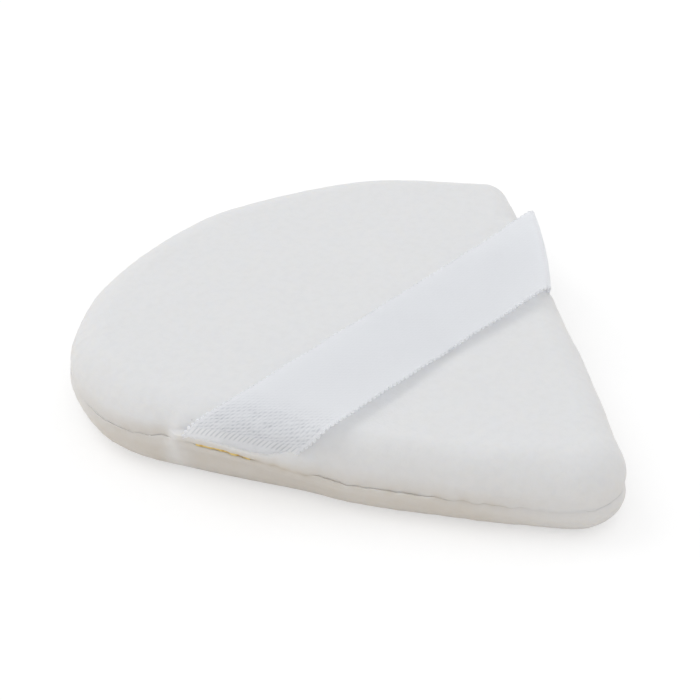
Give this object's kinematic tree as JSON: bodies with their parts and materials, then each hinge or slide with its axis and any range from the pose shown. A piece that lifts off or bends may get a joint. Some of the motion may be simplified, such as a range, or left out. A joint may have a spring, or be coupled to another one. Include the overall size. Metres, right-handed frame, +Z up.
{
  "type": "powder puff",
  "caption": "Wedge-shaped velour powder puff with a rounded end, a blunt tip, a sewn rim seam over a foam core and a satin ribbon across its back that lifts for the fingers.",
  "frame": {"origin": "centre of the object's box at the flat underside it rests on", "axes": "+Z up through the back with the ribbon, -Y towards the wedge's tip, +X towards the crisp corner, with the ribbon running roughly along X"},
  "size_m": [0.073, 0.0806, 0.0122],
  "materials": {
    "velour": "white short-pile velour",
    "sponge": "pale yellow open-cell foam",
    "satin": "white satin ribbon with picot edges",
    "thread": "white spun sewing thread"
  },
  "bodies": {
    "puff": {"back_cover": "velour", "face_cover": "velour", "foam_core": "sponge", "needle_thread": "thread", "bobbin_thread": "thread", "closing_thread": "thread", "strap_left_tail": "satin", "strap_right_tail": "satin"},
    "strap_span": {"strap_span": "satin"},
    "strap_left_leg": {"strap_left_leg": "satin"},
    "strap_right_leg": {"strap_right_leg": "satin"}
  },
  "joints": [
    {"name": "strap_lift", "type": "slide", "parent": "puff", "child": "strap_span", "axis": [0, 0, 1], "range_m": [0, 0.006]},
    {"name": "left_leg_swing", "type": "hinge", "parent": "puff", "child": "strap_left_leg", "pos_m": [-0.02857, -0.00654, 0.0069], "axis": [0.4732, -0.881, 0], "range_deg": [0, 23]},
    {"name": "right_leg_swing", "type": "hinge", "parent": "puff", "child": "strap_right_leg", "pos_m": [0.02732, -0.00067, 0.0069], "axis": [0.586, 0.8103, 0], "range_deg": [0, 20.5]}
  ],
  "couplings": [
    {"joint": "left_leg_swing", "follows": "strap_lift", "rad_per_m": 66.4},
    {"joint": "right_leg_swing", "follows": "strap_lift", "rad_per_m": 58.9}
  ]
}
